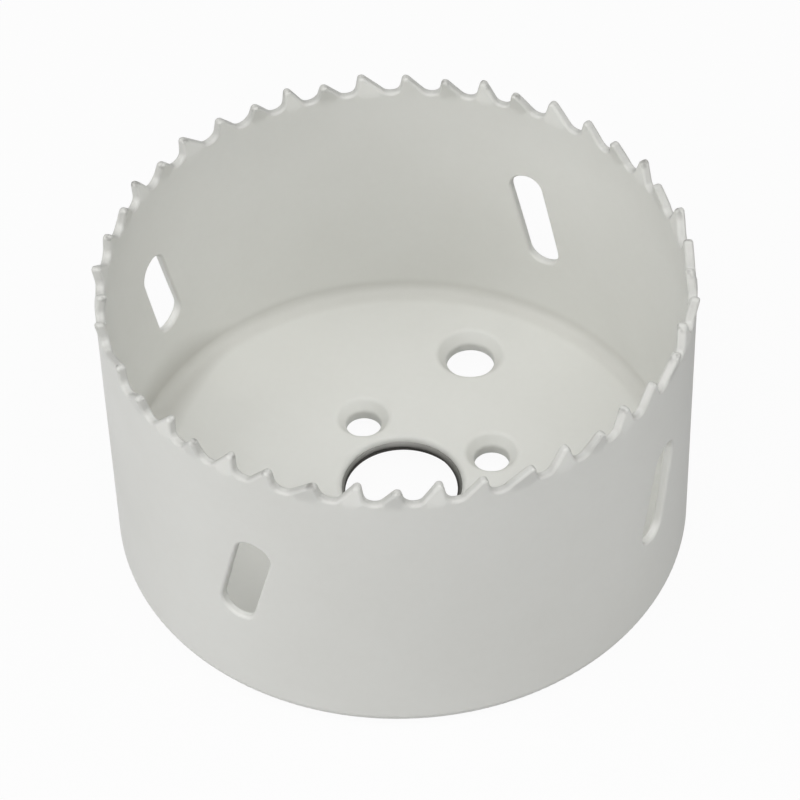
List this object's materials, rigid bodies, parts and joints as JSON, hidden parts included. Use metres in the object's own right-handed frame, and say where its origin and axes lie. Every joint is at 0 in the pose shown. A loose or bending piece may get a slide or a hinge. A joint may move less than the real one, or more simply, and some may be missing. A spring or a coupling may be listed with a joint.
{
  "type": "hole saw",
  "caption": "Cup-shaped hole saw with set teeth, leaning slots through its wall and a threaded, dimpled back plate.",
  "frame": {"origin": "on the saw's axis, in the plane that its back stands on", "axes": "+Z along the axis from the back towards the teeth; +X and +Y each pass through the middle of a slot"},
  "size_m": [0.0757, 0.0755, 0.043],
  "materials": {
    "paint": "satin",
    "thread": "machined, lightly oiled"
  },
  "bodies": {
    "root": {"toothed_wall": "paint", "back_plate": "paint"}
  },
  "joints": []
}
